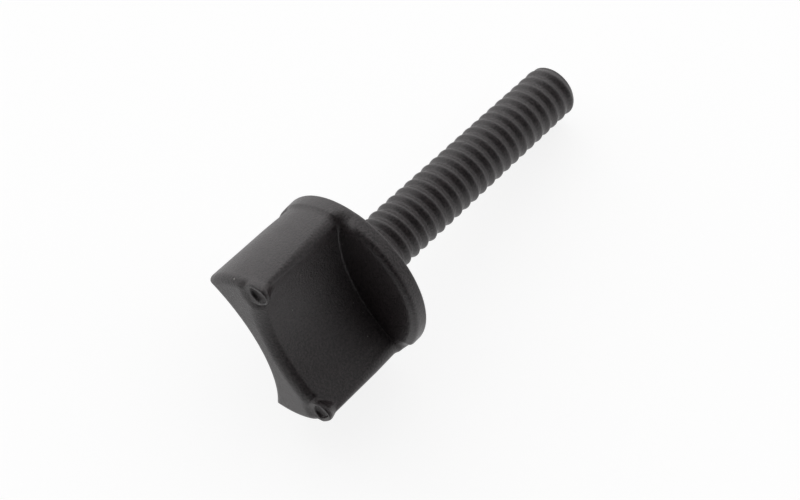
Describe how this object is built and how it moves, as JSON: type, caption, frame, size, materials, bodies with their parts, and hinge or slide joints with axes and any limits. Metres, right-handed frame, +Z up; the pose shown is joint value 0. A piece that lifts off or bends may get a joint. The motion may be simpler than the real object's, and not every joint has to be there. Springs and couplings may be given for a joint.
{
  "type": "wing bolt",
  "caption": "Moulded plastic wing bolt: a waisted two-lobed finger grip on a round flange, in one piece with a threaded shank, for tightening by hand.",
  "frame": {"origin": "bottom centre of the box round the lying bolt, on the surface that it rests on", "axes": "+X towards the tip of the shank, +Z up; the bolt's own axis lies in the XZ plane and dips towards the tip"},
  "size_m": [0.0361, 0.0142, 0.0154],
  "materials": {
    "black_plastic": "satin moulded black, fine matt grain"
  },
  "bodies": {
    "root": {"wing_bolt": "black_plastic"}
  },
  "joints": []
}
